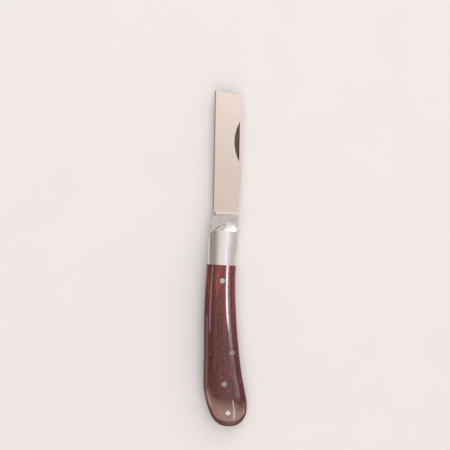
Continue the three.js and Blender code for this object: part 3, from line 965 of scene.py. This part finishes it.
class KNIFE_OT_materials(bpy.types.Operator):
    """Make the knife's steels and its lacquered wood."""

    bl_idname = "knife.materials"
    bl_label = "Knife Materials"

    def execute(self, context):
        handle, blade = context.scene.knife_handle, context.scene.knife_blade
        make_ground_lines()
        make_handling_wear()
        make_wood_grain()
        blade_finish(tuple(blade.colour))
        # The nick's steel is painted dark, a painted shade for the groove.
        steel("dark nick steel", NICK_PAINTED_SHADE, (900.0, 900.0, 900.0),
              roughness=(0.35, 0.5), line_depth=0.3, wear=0.3)
        steel("spring steel", tuple(blade.spring_colour), (4200.0, 300.0, 4200.0),
              roughness=(0.28, 0.4), line_depth=0.3, wear=0.4)
        steel("liner steel", tuple(handle.liner_colour), (4000.0, 400.0, 4000.0),
              roughness=(0.26, 0.38), line_depth=0.25, wear=0.3)
        steel("bolster steel", tuple(handle.bolster_colour), (4200.0, 120.0, 4200.0),
              roughness=(0.15, 0.27), line_depth=0.35, wear=0.6)
        steel("pin steel", tuple(handle.pin_colour), (3000.0, 3000.0, 3000.0),
              roughness=(0.32, 0.42), line_depth=0.25, wear=0.5)
        lacquered_wood("lacquered red wood", tuple(handle.wood_light), tuple(handle.wood_dark))
        return {"FINISHED"}


class KNIFE_OT_blade(bpy.types.Operator):
    """Build the square-ended blade with its nail nick, choil notch and tang."""

    bl_idname = "knife.blade"
    bl_label = "Blade"

    def execute(self, context):
        finish_piece(build_blade(), bpy.data.materials["blade steel"], ["blade"],
                     "blade", edge=BLADE_EDGE_ROUND, sharp=BLADE_SHARP_ANGLE)
        return {"FINISHED"}


class KNIFE_OT_backspring(bpy.types.Operator):
    """Build the backspring as one piece."""

    bl_idname = "knife.backspring"
    bl_label = "Backspring"

    def execute(self, context):
        piece = finish_piece(build_backspring(), bpy.data.materials["spring steel"],
                             ["backspring_arm", "backspring_tail"])
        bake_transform(piece)
        return {"FINISHED"}


class KNIFE_OT_liners(bpy.types.Operator):
    """Build the two liner plates."""

    bl_idname = "knife.liners"
    bl_label = "Liners"

    def execute(self, context):
        pins = [PIVOT_PIN, SPRING_PIN, TAIL_PIN, BUTT_PIN, SCALE_RIVET, *BOLSTER_RIVETS.values()]
        holes = [(x, y, radius + PLATE_GAP) for x, y, radius in pins]
        for side, (low, high) in (("front", FRONT_LINER), ("back", BACK_LINER)):
            piece = new_piece(f"liner_plate_{side}", plate(HANDLE_OUTLINE, low, high, holes))
            finish_piece(piece, bpy.data.materials["liner steel"],
                         [f"liner_{side}"], "handle", edge=LINER_EDGE_ROUND)
        return {"FINISHED"}


class KNIFE_OT_bolsters(bpy.types.Operator):
    """Build the two steel bolsters."""

    bl_idname = "knife.bolsters"
    bl_label = "Bolsters"

    def execute(self, context):
        for side in SIDES:
            finish_piece(build_bolster(side), bpy.data.materials["bolster steel"],
                         [f"bolster_{side}"], "handle",
                         edge=context.scene.knife_handle.edge_round * BOLSTER_ROUND_FACTOR)
        return {"FINISHED"}


class KNIFE_OT_scales(bpy.types.Operator):
    """Build the two wooden scales."""

    bl_idname = "knife.scales"
    bl_label = "Scales"

    def execute(self, context):
        for side in SIDES:
            finish_piece(build_scale(side), bpy.data.materials["lacquered red wood"],
                         [f"scale_{side}"], "handle",
                         edge=context.scene.knife_handle.edge_round)
        return {"FINISHED"}


class KNIFE_OT_pins(bpy.types.Operator):
    """Build the pins and rivets that hold the handle together."""

    bl_idname = "knife.pins"
    bl_label = "Pins and Rivets"

    def execute(self, context):
        steel_pins = bpy.data.materials["pin steel"]
        front, back = SIDES["front"], SIDES["back"]
        for name, place in (("spring_pin", SPRING_PIN), ("tail_pin", TAIL_PIN),
                            ("butt_pin", BUTT_PIN)):
            piece = build_pin(f"steel_{name}", place, 0, 0, top=front, bottom=back)
            finish_piece(piece, steel_pins, [name], "handle", edge=PIN_EDGE_ROUND)
        for side, low, high, surface in (("front", FRONT_LINER[0], 0, {"top": front}),
                                         ("back", 0, BACK_LINER[1], {"bottom": back})):
            piece = build_pin(f"scale_rivet_steel_{side}", SCALE_RIVET, low, high, **surface)
            finish_piece(piece, steel_pins, [f"scale_rivet_{side}"], "handle",
                         edge=PIN_EDGE_ROUND)
        self.hidden_rivets()
        return {"FINISHED"}

    def hidden_rivets(self):
        """The pivot pin and bolster rivets end just under the polished bolsters."""
        material = bpy.data.materials["bolster steel"]
        low, high = (hidden_end(side, *PIVOT_PIN[:2]) for side in ("back", "front"))
        piece = build_pin("steel_pivot_pin", PIVOT_PIN, low, high)
        finish_piece(piece, material, ["pivot_pin"], "handle",
                     edge=RIVET_EDGE_ROUND)
        for end, place in BOLSTER_RIVETS.items():
            for side, inner in (("front", FRONT_LINER[0]), ("back", BACK_LINER[1])):
                low, high = sorted((inner, hidden_end(side, *place[:2])))
                piece = build_pin(f"bolster_rivet_steel_{side}_{end}", place, low, high)
                finish_piece(piece, material, [f"bolster_rivet_{side}_{end}"],
                             "handle", edge=RIVET_EDGE_ROUND)


def aim(thing, place, target, up):
    """Points a light or camera from a place to a target with the given up direction."""
    back = (Vector(place) - Vector(target)).normalized()
    right = Vector(up).cross(back).normalized()
    turn = Matrix((right, back.cross(right), back)).transposed()
    thing.matrix_world = Matrix.Translation(place) @ turn.to_4x4()


def soft_light(name, place, target, size, power, colour, up=(0, 1, 0)):
    """A rectangular area light."""
    light = bpy.data.lights.new(name, "AREA")
    light.shape = "RECTANGLE"
    light.size, light.size_y = size
    light.energy = power
    light.color = colour
    holder = bpy.data.objects.new(name, light)
    bpy.context.scene.collection.objects.link(holder)
    aim(holder, place, target, up)
    return holder


# Where the camera looks, from the pivot: right and up in its view, and above the table.
VIEW_RIGHT, VIEW_UP, VIEW_Z = 0.0024, 0.00368, 0.009
SENSOR_WIDTH = 36.0
TABLE_HALF_WIDTH, MOTTLE_TONE = 8.0, 0.985
# The height that the soft boxes are aimed at.
LIT_Z = 0.008
WARM, COOL = (1.0, 0.92, 0.87), (0.99, 0.98, 1.0)
WHITE, VIOLET = (1.0, 0.99, 1.0), (0.82, 0.76, 1.0)
CREAM, TAN = (1.0, 0.90, 0.82), (1.0, 0.78, 0.60)
# Name, angle from straight up towards the knife's back, height, y, size (across and along),
# brightness, tint, and the starts of the names of the pieces it lights, or () for all.
SOFT_BOXES = (
    ("strip", 22.3, 0.6, -0.050, (0.095, 0.038), 27.0, WHITE, ("wood",)),
    ("strip side", 32.0, 0.6, -0.050, (0.19, 0.06), 5.0, VIOLET, ("wood",)),
    ("strip end", 26.0, 0.6, -0.095, (0.14, 0.06), 1.4, VIOLET, ("wood",)),
    ("left strip", -37.5, 0.6, -0.05, (0.12, 0.12), 4.7, VIOLET, ("wood",)),
    ("butt strip", 12.0, 0.5, -0.34, (0.03, 0.34), 11.0, VIOLET, ("wood",)),
    ("left card", -65.0, 0.3, -0.26, (0.35, 0.36), 2.1, TAN, ("wood",)),
    ("right card", 65.0, 0.3, -0.29, (0.35, 0.32), 2.1, TAN, ("wood",)),
    ("butt pin", 0.0, 0.5, -0.38, (0.25, 0.25), 2.6, CREAM, ("steel_butt",)),
    ("rivet", 4.0, 0.6, -0.044, (0.16, 0.16), 2.4, WHITE, ("scale_rivet",)),
    ("tip", -8.0, 0.25, 0.103, (0.05, 0.05), 1.3, WHITE, ("grafting",)),
    ("nose", 55.0, 0.25, 0.8, (0.6, 0.4), 5.0, WHITE, ("steel_bolster",)),
    ("far", 45.0, 0.5, 0.8, (0.8, 0.5), 1.3, WHITE, ()),
    ("table", 0.0, 1.5, 0.0, (1.6, 1.6), 0.5, WHITE, ("table",)),
)
# Beyond the butt, cards of one width and foot whose tops step down, for a soft upper edge.
WALL_Y, WALL_WIDTH, WALL_FOOT = -0.45, 2.8, 0.36
WALL_TOPS = (1.65, 1.35, 1.12, 0.94, 0.80)
WALL_STEP = 0.01
WALL_GLOW = 4.8
# The room's y direction, low and high, and its light there: beyond the butt and the tip.
BUTT_GLOW = (-0.24, -0.52, 1.0, 1.6)
TIP_GLOW = (-0.05, 0.35, 0.90, 1.25)
# Angle from straight up towards the knife's back, brightness and tint of the room's light.
ROOM_LIGHT = ((-90.0, 0.40, WARM), (-60.0, 0.36, WARM), (-27.0, 0.40, WARM), (-15.0, 0.74, WARM),
              (-6.0, 1.0, WARM), (1.0, 1.06, COOL), (9.0, 1.40, COOL), (17.0, 1.12, COOL),
              (28.0, 0.84, WARM), (44.0, 0.74, WARM), (90.0, 0.70, WARM))


class KNIFE_OT_stage(bpy.types.Operator):
    """Lay the pale table, set the soft lights and aim the camera straight down."""

    bl_idname = "knife.stage"
    bl_label = "Stage"

    def execute(self, context):
        scene, stage = context.scene, context.scene.knife_stage
        self.camera(scene, stage)
        self.table(stage)
        self.lights(scene, stage)
        scene.view_settings.view_transform = "Standard"
        return {"FINISHED"}

    def camera(self, scene, stage):
        """The view's middle lies a little up and right of the pivot."""
        right = Vector((math.cos(stage.lean), math.sin(stage.lean), 0.0))
        up = Vector((-math.sin(stage.lean), math.cos(stage.lean), 0.0))
        target = Vector((PIVOT.x, PIVOT.y, VIEW_Z)) + right * VIEW_RIGHT + up * VIEW_UP
        camera = bpy.data.cameras.new("camera")
        camera.sensor_width = SENSOR_WIDTH
        distance = stage.height - target.z
        camera.lens = camera.sensor_width * distance / stage.view_width
        camera.clip_start = 0.01
        camera.clip_end = 20.0
        holder = bpy.data.objects.new("camera", camera)
        scene.collection.objects.link(holder)
        aim(holder, target + Vector((0, 0, distance)), target, up)
        scene.camera = holder

    def table(self, stage):
        """A pale, faintly mottled table top."""
        bm = bmesh.new()
        bmesh.ops.create_grid(bm, x_segments=2, y_segments=2, size=TABLE_HALF_WIDTH)
        table = new_piece("table", bm)
        tree, shader, place = start_material("pale table")
        tone = tuple(stage.table_colour)
        cloud = noise(tree, place, scale=30.0, detail=3.0, roughness=0.5)
        mottle = remap(tree, cloud, 0.3, 0.7)
        tree.links.new(mixed(tree, mottle, tuple(c * MOTTLE_TONE for c in tone), tone),
                       shader.inputs["Base Color"])
        shader.inputs["Roughness"].default_value = 0.6
        table.data.materials.append(bpy.data.materials["pale table"])

    def lights(self, scene, stage):
        """Soft boxes, some of them kept to the pieces whose gloss they draw."""
        middle = Vector((PIVOT.x, PIVOT.y, LIT_Z))
        for name, angle, height, y, size, glow, colour, onto in SOFT_BOXES:
            reach = height * math.tan(math.radians(angle))
            target = middle + Vector((0, y, 0))
            power = glow * stage.strip * size[0] * size[1] * math.pi
            box = soft_light(name, target + Vector((reach, 0, height)), target, size, power,
                             colour)
            if onto:
                # A box kept to some pieces is still shaded by all of them.
                box.light_linking.receiver_collection = self.only(onto)
        for count, top in enumerate(WALL_TOPS):
            tall = top - WALL_FOOT
            level = Vector((0.0, 0.0, WALL_FOOT + tall / 2))
            away = Vector((0.0, WALL_Y - WALL_STEP * count, 0.0))
            glow = WALL_GLOW / len(WALL_TOPS) * stage.strip * WALL_WIDTH * tall * math.pi
            wall = soft_light(f"butt wall {count}", middle + level + away, middle + level,
                              (WALL_WIDTH, tall), glow, TAN, (0, 0, 1))
            wall.light_linking.receiver_collection = self.only(("wood",))
        self.room(scene, stage)

    def only(self, starts):
        """A collection of the pieces whose names start so."""
        group = bpy.data.collections.new("lit " + starts[0])
        for piece in bpy.context.scene.objects:
            if piece.name.startswith(starts):
                group.objects.link(piece)
        return group

    def room(self, scene, stage):
        """Even light from all round, dim on the left, with a wide soft glow beyond the butt."""
        world = bpy.data.worlds.new("room")
        world.use_nodes = True
        tree = world.node_tree
        back = tree.nodes["Background"]
        parts = tree.nodes.new("ShaderNodeSeparateXYZ")
        place = tree.nodes.new("ShaderNodeTexCoord").outputs["Generated"]
        tree.links.new(place, parts.inputs[0])
        turn = maths(tree, "ARCTAN2", parts.outputs["X"], parts.outputs["Z"])
        ramp = tree.nodes.new("ShaderNodeValToRGB")
        tree.links.new(remap(tree, turn, -math.pi / 2, math.pi / 2), ramp.inputs["Fac"])
        stops = ramp.color_ramp.elements
        stops.remove(stops[-1])
        for count, (angle, level, tint) in enumerate(ROOM_LIGHT):
            where = (angle + 90.0) / 180.0
            stop = stops.new(where) if count else stops[0]
            stop.position = where
            stop.color = (*(level * c for c in tint), 1.0)
        lift = maths(tree, "MULTIPLY", remap(tree, parts.outputs["Y"], *BUTT_GLOW),
                     remap(tree, parts.outputs["Y"], *TIP_GLOW))
        tree.links.new(ramp.outputs["Color"], back.inputs["Color"])
        tree.links.new(maths(tree, "MULTIPLY", lift, stage.fill), back.inputs["Strength"])
        plain = tree.nodes.new("ShaderNodeBackground")
        plain.inputs["Color"].default_value = (*stage.table_colour, 1.0)
        choose = tree.nodes.new("ShaderNodeMixShader")
        seen = tree.nodes.new("ShaderNodeLightPath").outputs["Is Camera Ray"]
        tree.links.new(seen, choose.inputs[0])
        tree.links.new(back.outputs[0], choose.inputs[1])
        tree.links.new(plain.outputs[0], choose.inputs[2])
        tree.links.new(choose.outputs[0], tree.nodes["World Output"].inputs["Surface"])
        scene.world = world


class KNIFE_PT_panel(bpy.types.Panel):
    """Sizes, colours and build steps of the knife."""

    bl_label = "Grafting Knife"
    bl_idname = "KNIFE_PT_panel"
    bl_space_type = "VIEW_3D"
    bl_region_type = "UI"
    bl_category = "Grafting Knife"

    def draw(self, context):
        layout = self.layout
        for title, group in (("Handle", context.scene.knife_handle),
                             ("Blade", context.scene.knife_blade),
                             ("Stage", context.scene.knife_stage)):
            box = layout.box()
            box.label(text=title)
            for key in group.__annotations__:
                box.prop(group, key)
        for step in STEPS:
            layout.operator(step.bl_idname)


STEPS = (KNIFE_OT_materials, KNIFE_OT_blade, KNIFE_OT_backspring, KNIFE_OT_liners,
         KNIFE_OT_bolsters, KNIFE_OT_scales, KNIFE_OT_pins, KNIFE_OT_stage)
CLASSES = (HandleSettings, BladeSettings, StageSettings, *STEPS, KNIFE_PT_panel)
SETTINGS = {"knife_handle": HandleSettings, "knife_blade": BladeSettings,
            "knife_stage": StageSettings}


def register():
    """Adds the settings, operators and panel."""
    for item in CLASSES:
        bpy.utils.register_class(item)
    for name, kind in SETTINGS.items():
        setattr(bpy.types.Scene, name, bpy.props.PointerProperty(type=kind))


def unregister():
    """Takes them away again."""
    for name in SETTINGS:
        delattr(bpy.types.Scene, name)
    for item in reversed(CLASSES):
        bpy.utils.unregister_class(item)


def main():
    """Builds the knife."""
    register()
    bpy.ops.knife.materials()
    bpy.ops.knife.blade()
    bpy.ops.knife.backspring()
    bpy.ops.knife.liners()
    bpy.ops.knife.bolsters()
    bpy.ops.knife.scales()
    bpy.ops.knife.pins()
    bpy.ops.knife.stage()


if __name__ == "__main__":
    main()
